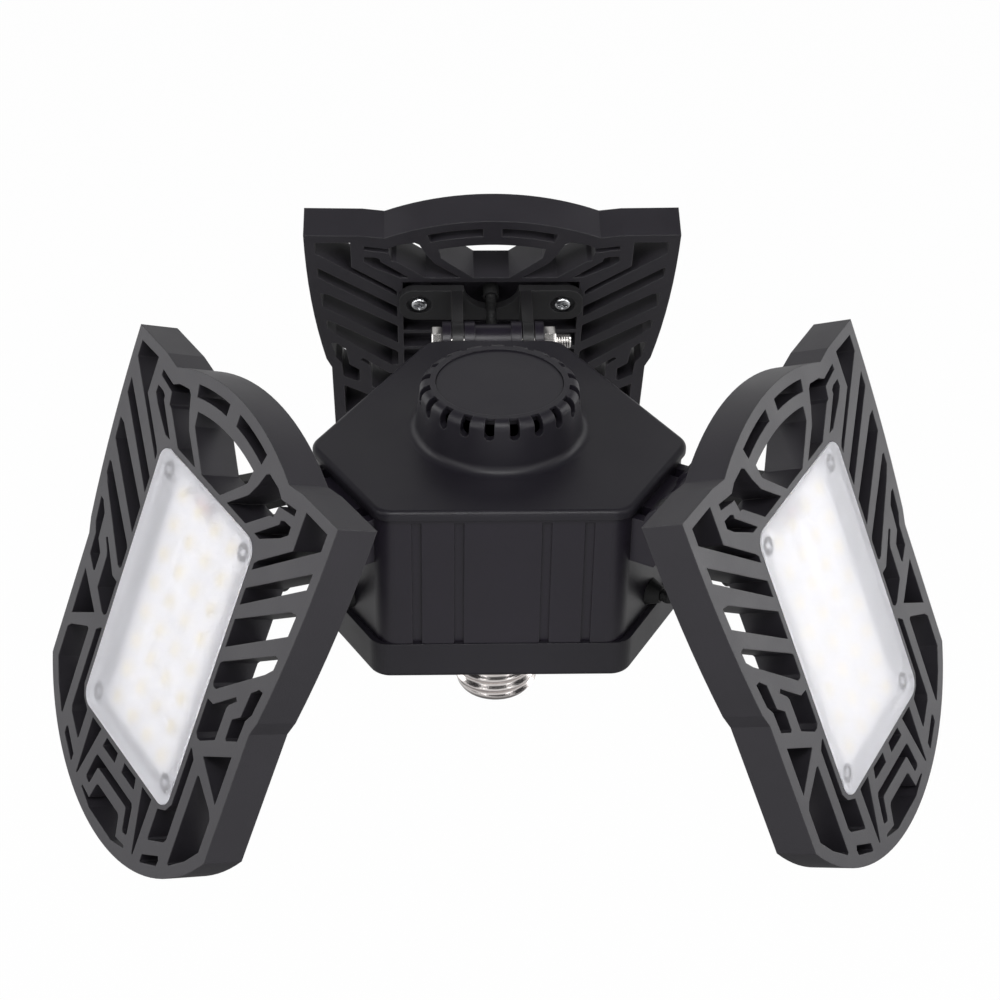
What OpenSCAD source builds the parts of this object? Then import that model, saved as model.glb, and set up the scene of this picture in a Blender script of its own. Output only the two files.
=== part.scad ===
// Ceiling garage light with three hinged lattice panels on a screw-in body.
// The lamp axis is Z. Z = 0 is the seat of the lamp base rim, and the dome is up.

/* [Lamp base] */
// radius of the plain rim of the lamp base
base_rim_r = 13.1; // [12.6:0.1:13.6]
// length of the plain rim
base_rim_len = 3; // [2:0.5:5]
// radius of the lamp base under its thread
base_thread_r = 12.5; // [11.8:0.1:12.5]
// length of the metal shell
base_shell_len = 23.4; // [20:0.2:26]
// wall of the metal shell
base_wall = 0.5; // [0.3:0.1:0.8]
// height of the insulator below the shell
insulator_len = 3.8; // [2:0.2:6]
// radius of the centre contact
contact_r = 4.6; // [3.5:0.1:5.2]
// height of the centre contact
contact_len = 1.2; // [0.8:0.1:2]

/* [Body] */
// height of the neck between the lamp base and the body
neck_len = 12; // [8:0.5:16]
// radius of the neck at the lamp base
neck_r = 15; // [14.5:0.5:18]
// distance from the axis to a long side of the lower band
long_side = 43.3; // [41:0.5:48]
// distance from the axis to a short side of the lower band
short_side = 53; // [52:0.5:55]
// distance by which the long walls stand in from the lower band
long_inset = 0.3; // [0.2:0.1:1.5]
// distance by which the hinge walls stand in from the lower band
hinge_inset = 1.8; // [1:0.1:3]
// radius of the upright corners of the body
corner_r = 7; // [5:0.5:9]
// height of the lower band
band_h = 12.5; // [10:0.5:16]
// height of the upright walls above the band
wall_h = 43.8; // [40:0.5:50]
// wall of the plastic housing
shell_t = 2.4; // [1.6:0.2:3]
// edge radius below the lower band
band_edge_r = 2.2; // [1:0.2:3]
// width of a wall groove
groove_w = 2.7; // [2:0.1:4]
// depth of a wall groove
groove_d = 0.9; // [0.5:0.1:1.4]
// distance from the middle of a long side to its inner grooves
groove_in = 12.3; // [9:0.5:16]
// distance from the middle of a long side to its outer grooves
groove_out = 24.3; // [20:0.5:27]

/* [Top cover] */
// height of the top cover without the dome
cover_h = 2.9; // [2.5:0.1:4]
// distance by which the cover stands out over the upright walls
cover_over = 1; // [0.4:0.1:1.4]
// radius of the upper edge of the cover
cover_edge_r = 1.6; // [0.8:0.2:2]
// radius of the dome where it flares into the cover
dome_flare_r = 27.3; // [26.5:0.1:30]
// radius of the dome wall above the flare
dome_low_r = 24.4; // [24:0.2:25.4]
// radius of the dome wall below the shoulder
dome_r = 23.3; // [22.6:0.1:24]
// height of the dome above the cover
dome_h = 15.9; // [13:0.1:18]
// radius of the dome shoulder
dome_edge_r = 3; // [2:0.2:3.4]
// number of vent slots
vent_count = 20; // [12:1:24]
// width of a vent slot
vent_w = 2.8; // [2:0.1:3.6]
// height of a vent slot below the top of the dome
vent_h = 5.6; // [4.5:0.2:7]
// radius of the round plate in the dome
disc_r = 18.5; // [16:0.5:19]
// thickness of the round plate
disc_t = 1.2; // [1:0.1:1.6]
// depth of the round plate below the top of the dome
disc_sink = 0.5; // [0.2:0.1:0.6]

/* [Hinges] */
// distance from the lamp axis to a hinge axis
hinge_r = 61; // [60.5:0.5:64]
// height of the hinge axes below the top of the upright walls
hinge_drop = 2.9; // [2:0.1:6]
// outer radius of the hinge eyes
eye_r = 6.3; // [5.5:0.1:6.4]
// radius of the hinge bolts
bolt_r = 2.5; // [2:0.1:2.8]
// distance across the flats of the bolt heads and nuts
hex_flats = 8; // [7:0.5:9]
// height of a bolt head
head_h = 3.5; // [2.5:0.5:4.5]
// height of a nut
nut_h = 4; // [3:0.5:5]
// length of bolt that stands out past the nut
bolt_end = 4.8; // [2:0.2:7]
// half width of the middle hinge block
block_half = 9.1; // [8:0.1:10.5]
// thickness of a bracket ear
ear_t = 3.6; // [3:0.1:4.2]
// thickness of an outer ear on the body
lug_t = 2.8; // [2.4:0.1:3.6]
// height of the hinge block below the hinge axis
block_drop = 14; // [11:0.5:16]
// lean of the back panel towards the lamp axis
lean_back = 20.2; // [10:0.1:40]
// lean of the left panel towards the lamp axis
lean_left = 22.3; // [10:0.1:40]
// lean of the right panel towards the lamp axis
lean_right = 23.9; // [10:0.1:40]

/* [Light panels] */
// distance from the hinge axis to the front face of a panel
front_dist = 35.5; // [34:0.5:38]
// depth of a heat sink
sink_t = 12; // [10:0.5:13]
// width of a panel across its upper corners
panel_w = 120; // [114:1:122]
// width of a panel below its waist
lower_w = 107; // [102:1:110]
// height of the upper corners above the hinge axis
panel_top = 24; // [22:0.5:26]
// height of the crown arc above the hinge axis
crown_top = 30.4; // [28:0.2:32]
// radius of the crown arc
crown_r = 80; // [74:1:90]
// distance from the hinge axis down to the waist of the panel
waist_drop = 41.6; // [38:0.5:46]
// distance from the hinge axis down to the lower end of the panel
panel_foot = 112.4; // [110:0.5:118]
// radius of the lower arc
foot_r = 63.5; // [60:0.5:70]
// width of the rim round the lattice above the waist
rim_w = 3.4; // [2.5:0.1:4.5]
// width of the rim round the lattice below the waist
rim_low_w = 3.9; // [3:0.1:4.5]
// width of the lens
lens_w = 57.4; // [52:0.5:58]
// height of the lens
lens_h = 85.4; // [80:0.5:88]
// distance from the hinge axis up to the top of the lens
lens_top = 1.8; // [1:0.1:2.4]
// corner radius of the lens
lens_corner_r = 4.6; // [3:0.2:6]
// thickness of the lens
lens_t = 2.3; // [1.6:0.1:3]
// height of the lens above the front face
lens_proud = 0.3; // [0:0.1:0.8]
// thickness of the lens seal
seal_t = 0.6; // [0.4:0.1:1]
// width of the ledge under the lens
ledge_w = 2; // [1.4:0.1:2.4]
// wall between the lens pocket and the lattice
tray_wall = 1.9; // [1.4:0.1:2.4]
// depth of the tray floor below the front face
tray_d = 6.1; // [5.4:0.1:7]
// thickness of the tray floor
floor_t = 2; // [1.5:0.1:3]
// spacing of the fins behind the tray
fin_pitch = 8.5; // [7:0.5:11]
// thickness of a fin
fin_t = 1.4; // [1:0.1:2]
// distance between the light board and the ends of the lens opening
board_end = 2.6; // [1:0.1:6]
// thickness of the light board
board_t = 1.6; // [1:0.1:2]
// number of columns of light chips
chip_cols = 4; // [2:1:6]
// number of rows of light chips
chip_rows = 8; // [4:1:10]
// distance from the middle of the lens to its screw posts
post_x = 23.3; // [22.8:0.1:24]
// distance from the ends of the lens to its screw posts
post_end = 5.7; // [5:0.1:8]

/* [Brackets and leads] */
// thickness of a bracket plate
plate_t = 2.6; // [2:0.1:3.4]
// width of a bracket plate
plate_w = 60; // [56:1:61]
// height of a bracket plate
plate_h = 14.2; // [13:0.2:17]
// distance from the hinge axis up to the top of a bracket plate
plate_top = 0.4; // [0:0.1:1.4]
// distance from the middle of a bracket to its screws
screw_x = 23.5; // [21:0.5:25]
// distance from the hinge axis down to the bracket screws
screw_drop = 6.4; // [5.8:0.1:7.6]
// radius of the bracket screw heads
screw_head_r = 2.7; // [2:0.1:3.2]
// radius of the round notch in a bracket
notch_r = 8.9; // [7:0.1:9.2]
// wall of the cable gland round its cable
gland_wall = 0.9; // [0.8:0.1:1.6]
// length of the cable gland behind the tray
gland_len = 4.4; // [3:0.1:5]
// radius of the panel cable
cable_r = 1.7; // [1.2:0.1:2]
// radius of the rubber grommet where a cable enters the body
grommet_r = 4.2; // [3.2:0.1:5]
// length of the tapered outer end of a grommet
grommet_len = 4; // [2:0.2:5]

/* [Driver] */
// width of the driver board
driver_w = 44; // [36:1:48]
// thickness of the driver board
driver_t = 1.6; // [1:0.1:2]
// height of the driver board above the floor of the body
driver_rise = 10; // [6:0.5:14]
// width of the transformer
coil_w = 18; // [12:1:22]
// height of the transformer
coil_h = 16; // [10:1:22]
// radius of the larger capacitor
cap_r = 5; // [3:0.5:6]
// height of the larger capacitor
cap_h = 20; // [12:1:26]

/* [Hidden] */
$fn = 48;
// clearance of parts that seat in each other
seat_gap = 0.15;
// clearance of parts that turn beside each other
side_gap = 0.3;
// clearance of a bolt in its hole
bore_gap = 0.1;
// overlap of a cut past the face it opens
cut = 1;
// directions of the three hinge sides and the lean of the panel on each
sides = [90, 210, 330];
leans = [lean_back, lean_left, lean_right];

// heights of the body, from the seat of the lamp base
band_z = neck_len;
wall_z = band_z + band_h;
cover_z = wall_z + wall_h;
cover_top = cover_z + cover_h;
dome_top = cover_top + dome_h;
disc_z = dome_top - disc_sink - disc_t;
hinge_z = cover_z - hinge_drop;
// the two wall distances of the housing and of the cover, and the thickness of the cover plate
house_long = long_side - long_inset;
house_short = short_side - hinge_inset;
cover_long = house_long + cover_over;
cover_short = house_short + cover_over;
cover_t = 1.8;

// the hinge, along its axis
lug_in = block_half + ear_t + 2 * side_gap;
lug_out = lug_in + lug_t;

// the panel, from its hinge axis
back_n = front_dist - sink_t;
lens_mid = lens_top - lens_h / 2;
lens_foot = lens_top - lens_h;
tray_x = lens_w / 2 + seat_gap + tray_wall;
tray_top = lens_top + seat_gap + tray_wall;
tray_foot = lens_foot - seat_gap - tray_wall;
floor_n = front_dist - tray_d;
rear_n = floor_n - floor_t;
ledge_n = front_dist + lens_proud - lens_t - seal_t;
inner_w = lens_w + 2 * seat_gap - 2 * ledge_w;
inner_h = lens_h + 2 * seat_gap - 2 * ledge_w;
// the light board ends short of the lens opening and passes between the lens posts
post_r = 2.8;
board_w = 2 * (post_x - post_r - side_gap);
board_h = inner_h - 2 * board_end;
crown_mid = crown_top - crown_r;
foot_mid = foot_r - panel_foot;
rear_x = tray_x - tray_wall;
post_z = [lens_top - post_end, lens_foot + post_end];
// radius of the hole for a lens screw
post_hole_r = 1.1;
// radius of a screw boss behind the tray and of its screw hole
boss_r = 5;
screw_r = 1.7;
// depth of the round recess for a bracket screw head
recess_d = 1.1;
recess_r = screw_head_r + 1.5;
// height of a bracket screw head above its recess floor
head_t = 1.7;
// height of the cable gland from the hinge axis, its radius and that of its hole in the tray floor
gland_z = -5;
gland_r = cable_r + gland_wall;
gland_hole_r = gland_r - 0.3;
// height of the wall grommets above the band
grommet_rise = 5.5;

// length of the screws of the bottom cover below their heads
cover_screw_len = band_h + 5.5;

// ---------- shared forms ----------

// half length of a long side of the six-sided outline between its sharp corners
function long_half(a, b) = (2 * b - a) / sqrt(3);
// corner point beside the long side that faces -Y, on the side s
function corner(a, b, s) = [s * long_half(a, b), -a];
function turned(p, w) = [p[0] * cos(w) - p[1] * sin(w), p[0] * sin(w) + p[1] * cos(w)];
// the six sharp corners in order round the axis
function hex_points(a, b) = [for (i = [0:2], s = [-1, 1]) turned(corner(a, b, s), 120 * i)];
// point on the edge before and after a rounded corner
function towards(p, q, d) = p + (q - p) * d / norm(q - p);

// six-sided outline with long sides at a, short sides at b and corner radius r
module hex_outline(a, b, r) {
    pts = hex_points(a, b);
    tip = r * tan(30);
    polygon([for (i = [0:5], k = [-1, 1]) towards(pts[i], pts[(i + 6 + k) % 6], tip)]);
    for (p = hex_points(a - r, b - r))
        translate(p)
            circle(r);
}

// upright six-sided block from z0 to z1
module hex_block(a, b, r, z0, z1) {
    translate([0, 0, z0])
        linear_extrude(z1 - z0)
            hex_outline(a, b, r);
}

// the same with the radius e on its upper edge
module hex_soft_top(a, b, r, e, z0, z1) {
    hull()
        for (p = hex_points(a - r, b - r))
            translate([p[0], p[1], z0])
                rotate_extrude() {
                    square([r, z1 - z0 - e]);
                    square([r - e, z1 - z0]);
                    intersection() {
                        translate([r - e, z1 - z0 - e])
                            circle(e);
                        square([r, z1 - z0]);
                    }
                }
}

// a shape drawn for the hinge side at +Y, set round the axis on side i
module on_side(i) {
    rotate([0, 0, sides[i] - 90])
        children();
}

// a shape drawn from the hinge axis of a panel, set in its place on side i
module on_panel(i) {
    on_side(i)
        translate([0, hinge_r, hinge_z])
            rotate([leans[i], 0, 0])
                children();
}

// extrude an outline of the panel plane from the depth n1 back to n0
module slab(n0, n1) {
    translate([0, n1, 0])
        rotate([90, 0, 0])
            linear_extrude(n1 - n0)
                children();
}

// extrude an outline of the hinge plane (out, up) from x0 to x1
module side_plate(x0, x1) {
    translate([x0, 0, 0])
        rotate([90, 0, 90])
            linear_extrude(x1 - x0)
                children();
}

// both halves of what is drawn on the right
module mirrored() {
    children();
    mirror([1, 0, 0])
        children();
}

module round_rect(w, h, r) {
    square([w - 2 * r, h], center = true);
    square([w, h - 2 * r], center = true);
    for (x = [-1, 1], y = [-1, 1])
        translate([x * (w / 2 - r), y * (h / 2 - r)])
            circle(r);
}

// ---------- body ----------

module dome_outline() {
    flare = dome_flare_r - dome_low_r;
    difference() {
        union() {
            translate([0, cover_top - cut])
                square([dome_flare_r, cut + flare * 0.9]);
            polygon([[0, cover_top], [dome_low_r + 0.3, cover_top], [dome_low_r, cover_top + flare],
                [dome_r, dome_top - dome_edge_r], [dome_r - dome_edge_r, dome_top], [0, dome_top]]);
            translate([dome_r - dome_edge_r, dome_top - dome_edge_r])
                circle(dome_edge_r);
        }
        translate([dome_flare_r, cover_top + flare])
            circle(flare);
        translate([dome_flare_r - flare * 0.1, cover_top + flare * 0.5])
            square([flare, flare]);
    }
}

module dome_hollow() {
    ring_r = dome_r - dome_edge_r - shell_t;
    translate([0, cover_top - cover_t - cut])
        square([dome_low_r - shell_t, cut + cover_t]);
    polygon([[0, cover_top - cut], [dome_low_r - shell_t, cover_top - cut], [dome_r - shell_t, dome_top - dome_edge_r],
        [ring_r, dome_top - shell_t], [0, dome_top - shell_t]]);
}

module top_cover() {
    color("#2b2a2e")
        difference() {
            union() {
                hex_soft_top(cover_long, cover_short, corner_r, cover_edge_r, cover_z, cover_top);
                rotate_extrude()
                    dome_outline();
            }
            hex_block(house_long - shell_t - side_gap, house_short - shell_t - side_gap,
                corner_r - shell_t, cover_z - cut, cover_top - cover_t);
            rotate_extrude()
                dome_hollow();
            for (i = [0:vent_count - 1])
                rotate([0, 0, (i + 0.5) * 360 / vent_count])
                    vent_slot();
            translate([0, 0, disc_z])
                cylinder(r = disc_r + seat_gap, h = dome_top + cut - disc_z);
        }
}

// one vent: an upright slot with a round lower end, through the shoulder of the dome
module vent_slot() {
    from_r = dome_r - dome_edge_r;
    reach = dome_flare_r - from_r;
    low = dome_top - vent_h + vent_w / 2;
    translate([from_r, 0, low])
        rotate([0, 90, 0])
            cylinder(d = vent_w, h = reach);
    translate([from_r, -vent_w / 2, low])
        cube([reach, vent_w, vent_h]);
    // undercut, so that the vent opens into the dome below a thin lip
    translate([from_r - 0.8, -vent_w / 2, low])
        cube([1, vent_w, dome_top - 1 - low]);
}

module dome_disc() {
    color("#262529")
        translate([0, 0, disc_z])
            cylinder(r = disc_r, h = disc_t);
}

// side view of the hinge block: a foot on the wall and an eye round the bolt
module knuckle_outline(r) {
    wall = house_short - shell_t / 2 - hinge_r;
    // the flank runs on inside the eye, so that the two cross cleanly
    flank = 0.93 * r;
    polygon([[wall, -block_drop], [-2.5, -block_drop], [flank * cos(25), -flank * sin(25)], [0, 0.6],
        [wall, 0.6]]);
    circle(r);
}

module knuckle() {
    barrel_half = block_half - 3.3;
    side_plate(-block_half, -barrel_half)
        knuckle_outline(eye_r);
    side_plate(-barrel_half, barrel_half)
        knuckle_outline(eye_r - 0.9);
    side_plate(barrel_half, block_half)
        knuckle_outline(eye_r);
    mirrored()
        side_plate(lug_in, lug_out)
            knuckle_outline(eye_r);
}

// places of the three posts for the screws of the bottom cover
module at_posts() {
    for (i = [0:2])
        rotate([0, 0, 120 * i])
            translate([0, -(house_long - shell_t - 3.2), 0])
                children();
}

module housing() {
    post_top = wall_z + 14;
    color("#2f2d31")
        difference() {
            union() {
                difference() {
                    hex_block(house_long, house_short, corner_r, wall_z, cover_z);
                    hex_block(house_long - shell_t, house_short - shell_t, corner_r - shell_t,
                        wall_z - cut, cover_z + cut);
                }
                at_posts()
                    translate([0, 0, wall_z])
                        cylinder(r = 4, h = post_top - wall_z);
                for (i = [0:2])
                    on_side(i)
                        translate([0, hinge_r, hinge_z])
                            knuckle();
            }
            for (i = [0:2])
                rotate([0, 0, 120 * i])
                    for (x = [-groove_out, -groove_in, groove_in, groove_out])
                        translate([x - groove_w / 2, -house_long - cut, wall_z - cut])
                            cube([groove_w, cut + groove_d, wall_h - 1.4 + cut]);
            for (i = [0:2])
                on_side(i) {
                    translate([-lug_out - cut, hinge_r, hinge_z])
                        rotate([0, 90, 0])
                            cylinder(r = bolt_r + bore_gap, h = 2 * (lug_out + cut));
                    translate([0, house_short + cut, wall_z + grommet_rise])
                        rotate([90, 0, 0])
                            cylinder(r = grommet_r - 1, h = shell_t + 2 * cut);
                }
            at_posts()
                translate([0, 0, wall_z - cut])
                    cylinder(r = 1.5, h = 12 + cut);
        }
}

module bottom_cover() {
    lip_top = wall_z + 2.5;
    lip_long = house_long - shell_t - side_gap;
    lip_short = house_short - shell_t - side_gap;
    head_z = band_z + 3;
    plug_r = base_thread_r - base_wall - side_gap;
    plug_len = base_shell_len - 4;
    color("#2d2b30")
        difference() {
            union() {
                difference() {
                    union() {
                        translate([0, 0, band_z + wall_z])
                            mirror([0, 0, 1])
                                hex_soft_top(long_side, short_side, corner_r, band_edge_r, band_z, wall_z);
                        hex_block(lip_long, lip_short, corner_r - shell_t, wall_z - cut, lip_top);
                    }
                    hex_block(lip_long - shell_t, lip_short - shell_t, corner_r - 2 * shell_t + 0.5,
                        band_z + shell_t, lip_top + cut);
                    at_posts()
                        translate([0, 0, wall_z])
                            cylinder(r = 4 + side_gap, h = lip_top + cut - wall_z);
                }
                at_posts()
                    translate([0, 0, head_z - 1.2])
                        cylinder(r = 4, h = wall_z - head_z + 1.2);
                for (w = [45:90:315])
                    rotate([0, 0, w])
                        translate([driver_w / 2 - 2, 0, band_z + shell_t - 0.5])
                            cylinder(r = 3, h = driver_rise + 0.5);
                neck();
                translate([0, 0, -plug_len])
                    cylinder(r = plug_r, h = plug_len + cut);
            }
            translate([0, 0, -plug_len - cut])
                cylinder(r = plug_r - shell_t, h = plug_len + band_z + shell_t + 2 * cut);
            at_posts() {
                translate([0, 0, band_z - cut])
                    cylinder(r = 1.8, h = band_h + 2 * cut);
                translate([0, 0, band_z - cut])
                    cylinder(r = 3.4, h = head_z - band_z + cut);
            }
        }
}

// the neck widens in a curve into the floor of the body
module neck() {
    bell = 4;
    rotate_extrude()
        difference() {
            square([neck_r + bell, neck_len + shell_t / 2]);
            translate([neck_r + bell, neck_len + shell_t / 4 - bell])
                circle(bell);
            translate([neck_r, -cut])
                square([bell + cut, neck_len + shell_t / 4 - bell + cut]);
        }
}

module cover_screws() {
    color("#b9b9bd")
        at_posts() {
            translate([0, 0, band_z + 1.2])
                cylinder(r = 2.8, h = 1.8);
            translate([0, 0, band_z + 3])
                cylinder(r = 1.45, h = cover_screw_len);
        }
}

module screw_shell() {
    bend_r = 2.4;
    tip = -base_shell_len;
    color("#c9c9cc")
        rotate_extrude()
            difference() {
                union() {
                    translate([0, -base_rim_len])
                        square([base_rim_r, base_rim_len]);
                    translate([0, tip + bend_r])
                        square([base_thread_r, base_shell_len - bend_r]);
                    translate([0, tip])
                        square([base_thread_r - bend_r, bend_r + cut]);
                    translate([base_thread_r - bend_r, tip + bend_r])
                        circle(bend_r);
                }
                translate([0, tip + bend_r])
                    square([base_thread_r - base_wall, base_shell_len]);
                translate([0, tip + base_wall])
                    square([base_thread_r - bend_r, bend_r + cut]);
                translate([0, tip - cut])
                    square([contact_r + 3, bend_r]);
            }
}

module base_insulator() {
    top = -base_shell_len + base_wall;
    color("#1b1b1d")
        rotate_extrude()
            polygon([[0, top + 1.6], [contact_r + 4.6, top + 1.6], [contact_r + 4.6, top],
                [contact_r + 3 - seat_gap, top], [contact_r + 3 - seat_gap, -base_shell_len],
                [contact_r + 0.8, -base_shell_len - insulator_len],
                [0, -base_shell_len - insulator_len]]);
}

module centre_contact() {
    z = -base_shell_len - insulator_len;
    color("#c2b280")
        rotate_extrude() {
            translate([0, z - contact_len])
                square([contact_r - contact_len, contact_len]);
            intersection() {
                translate([contact_r - contact_len, z])
                    circle(contact_len);
                translate([0, z - contact_len])
                    square([contact_r, contact_len]);
            }
        }
}

module driver_board() {
    color("#2f6b3a")
        translate([-driver_w / 2, -driver_w / 2, band_z + shell_t + driver_rise])
            cube([driver_w, driver_w, driver_t]);
}

module transformer() {
    z = band_z + shell_t + driver_rise + driver_t;
    color("#c8a13a")
        translate([2, -coil_w / 2, z]) {
            cube([coil_w, coil_w, 2.5]);
            translate([2, 2, 2.5])
                cube([coil_w - 4, coil_w - 4, coil_h - 5]);
            translate([0, 0, coil_h - 2.5])
                cube([coil_w, coil_w, 2.5]);
        }
}

module capacitors() {
    z = band_z + shell_t + driver_rise + driver_t;
    color("#26303c") {
        translate([-driver_w / 4 - 2, driver_w / 4, z])
            cylinder(r = cap_r, h = cap_h);
        translate([-driver_w / 4 - 2, -driver_w / 4, z])
            cylinder(r = cap_r - 1, h = cap_h - 6);
    }
}

// ---------- hinge parts on the body ----------

module hex_prism(x0, x1) {
    translate([x0, 0, 0])
        rotate([0, 90, 0])
            cylinder(r = hex_flats / sqrt(3), h = x1 - x0, $fn = 6);
}

// the bolt heads of the left and right hinges are both at the front
module on_bolt(i) {
    on_side(i)
        translate([0, hinge_r, hinge_z])
            rotate([0, 0, i == 2 ? 180 : 0])
                children();
}

module hinge_bolt(i) {
    color("#cfcfd2")
        on_bolt(i) {
            hex_prism(-lug_out - head_h, -lug_out);
            translate([-lug_out, 0, 0])
                rotate([0, 90, 0])
                    cylinder(r = bolt_r, h = 2 * lug_out + nut_h + bolt_end);
        }
}

module hinge_nut(i) {
    color("#d6d6d9")
        on_bolt(i)
            difference() {
                hex_prism(lug_out, lug_out + nut_h);
                translate([lug_out - cut, 0, 0])
                    rotate([0, 90, 0])
                        cylinder(r = bolt_r + 0.02, h = nut_h + 2 * cut);
            }
}

module grommet(i) {
    color("#19191b")
        on_side(i)
            translate([0, house_short - shell_t, wall_z + grommet_rise])
                rotate([-90, 0, 0])
                    difference() {
                        union() {
                            cylinder(r = grommet_r - 1 - seat_gap, h = shell_t + 0.1);
                            translate([0, 0, shell_t])
                                cylinder(r1 = grommet_r, r2 = cable_r + 0.8, h = grommet_len);
                        }
                        translate([0, 0, -cut])
                            cylinder(r = cable_r + seat_gap, h = shell_t + grommet_len + 2 * cut);
                    }
}

// ---------- light panels ----------

// half width of the panel at the height v above its waist curve
waist_v = 4.6 - waist_drop;
waist_x = panel_w / 2 - 4.8;
function side_x(v) = panel_w / 2 - (panel_w / 2 - waist_x) * pow((panel_top - v) / (panel_top - waist_v), 2.2);
side_steps = 8;
side_vs = [for (i = [0:side_steps]) panel_top + (waist_v - panel_top) * i / side_steps];
notch_x = panel_w * 0.287;
notch_v = crown_mid + sqrt(crown_r * crown_r - notch_x * notch_x);
foot_v = foot_mid - sqrt(foot_r * foot_r - lower_w * lower_w / 4);

// a closed outline from its right half
function both(h) = concat(h, [for (k = [len(h) - 1:-1:0]) [-h[k][0], h[k][1]]]);

module sink_block() {
    difference() {
        slab(back_n, front_dist)
            polygon(both(concat([[notch_x - 4.4, notch_v - 0.6], [notch_x + 7, panel_top - 0.3]],
                [for (v = side_vs) [side_x(v), v]],
                [[lower_w / 2, -waist_drop], [lower_w / 2, -panel_foot - cut]])));
        slab(back_n - cut, front_dist + cut)
            difference() {
                translate([-lower_w, -panel_foot - foot_r])
                    square([2 * lower_w, foot_r + panel_foot + foot_v + 4]);
                translate([0, foot_mid])
                    circle(foot_r, $fn = 120);
            }
    }
    slab(back_n, front_dist)
        intersection() {
            translate([0, crown_mid])
                circle(crown_r, $fn = 120);
            translate([-notch_x - 4, notch_v - 4])
                square([2 * notch_x + 8, crown_top]);
        }
}

// The lattice is drawn in millimetres on the photographed panel and fitted by these rulers.
// Each pair is a place in the drawing and where the panel has it.
x_ruler = [[0, 0], [30.8, tray_x], [56.6, panel_w / 2 - rim_w]];
x_low_ruler = [[0, 0], [30.8, tray_x], [49.6, lower_w / 2 - rim_low_w]];
z_ruler = [[-108.6, rim_w + 0.4 - panel_foot], [-85.2, tray_foot + 0.45], [-41, 0.6 - waist_drop],
    [-4.8, tray_top - 8.65], [3.1, tray_top], [20.6, panel_top - rim_w]];
// stands for the inner edge of the rim
RIM = 99;

function fit_x(x, v) = v > -waist_drop
    ? (x == RIM ? side_x(v) - rim_w : lookup(x, x_ruler))
    : (x == RIM ? lower_w / 2 - rim_low_w : lookup(x, x_low_ruler));
function fit(h) = [for (p = h) let (v = lookup(p[1], z_ruler)) [fit_x(p[0], v), v]];

// holes between the tray and the top rim
top_holes = [
    [[24.8, 20.6], [30.5, 19.4], [33.5, 17.6], [41, 18.8], [41, 16.9], [33.2, 15.4], [32.3, 11.6], [30.8, 11.2],
        [21.3, 3.1], [10, 3.1], [18.5, 10.4], [21.3, 15], [23.3, 19.6]],
    [[36, 12.6], [37.6, 13.4], [41.1, 13.6], [41.2, 11.2], [38.5, 8.7], [29.6, 3.1], [26.6, 3.1], [35.9, 11.3]]];
// slots beside the tray, with their outer ends at the rim
side_holes = [
    [[45.3, 20.6], [RIM, 20.6], [RIM, 15.3], [30.8, -4.8], [30.8, -3], [32, -1.7], [45.3, 8.7]],
    [[30.8, -10.4], [RIM, 8.4], [RIM, 3.4], [30.8, -15.5]],
    [[30.8, -20], [53, -4.4], [RIM, -3.8], [RIM, -10.3], [30.8, -28.7]],
    [[30.8, -33.9], [31.5, -32.9], [53.2, -17.4], [RIM, -17.5], [RIM, -21.2], [51.5, -24.2], [33, -40.6],
        [31.5, -40.8], [30.8, -40.1]],
    [[48.4, -32], [51.3, -29], [RIM, -28.8], [RIM, -36.6], [50, -39.6], [RIM, -46.3], [44.9, -49.4],
        [44.2, -49], [44.2, -43], [47.5, -40.1]],
    [[30.8, -45], [34, -44.8], [42.8, -36.8], [43.7, -37.6], [40.9, -40.5], [40.2, -42], [40, -52.3],
        [33.6, -56.9], [32, -57], [30.8, -56]],
    [[37.4, -59.4], [RIM, -51.3], [RIM, -66.8]],
    [[37.8, -65.3], [38.7, -65], [48, -69.8], [RIM, -71.6], [RIM, -82.3], [45, -88.6], [38.6, -94.8],
        [37.8, -94.6]]];
// holes round the lower corners of the tray and in the foot
foot_holes = [
    [[30.8, -60.9], [31.7, -61.1], [33.8, -63], [33.8, -89.6], [33, -91.1], [25.4, -95.7], [25, -95.2],
        [25, -85.4], [28.9, -83.2], [30.8, -80]],
    [[24.9, -101], [32.6, -96], [33.4, -97], [33.1, -99], [25.4, -103.5], [24.9, -103.2]],
    [[14.5, -85.2], [20.9, -85.2], [20.6, -104.4], [19.9, -104.4]],
    [[2.4, -85.5], [10.2, -85.4], [11.1, -88.5], [10.7, -88.9], [2.4, -88.9]]];
// holes across the middle of the foot and of the crown, drawn as right halves
middle_holes = [
    [[12.2, -92.6], [13, -93.6], [14.7, -101.4], [14.3, -102.1], [12.3, -102.5], [11.8, -102], [10.1, -96],
        [9.6, -95.6]],
    [[7, -99.6], [8, -100.4], [9.7, -106], [15, -105.2], [15.4, -106], [8, -108.5]]];
fan_hole = [[5.8, 3.1], [14.5, 11.1], [16.4, 13], [17.8, 20.6], [17.8, 30]];

// the crown: two arc slots and the fan hole follow the arc of the rim
module crown_holes() {
    slot_in = panel_w / 40;
    slot_out = panel_w * 0.188;
    slot_foot = panel_w * 0.158;
    rim_in = crown_r - rim_w;
    fan_r = rim_in - 7.4;
    intersection() {
        translate([0, crown_mid])
            difference() {
                circle(rim_in, $fn = 120);
                circle(rim_in - 3.6, $fn = 120);
            }
        mirrored()
            polygon([[slot_in, panel_top - 6], [slot_in, crown_top], [slot_out, crown_top],
                [slot_foot, panel_top - 6]]);
    }
    intersection() {
        translate([0, crown_mid])
            circle(fan_r, $fn = 120);
        polygon(both(fit(fan_hole)));
    }
}

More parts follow.
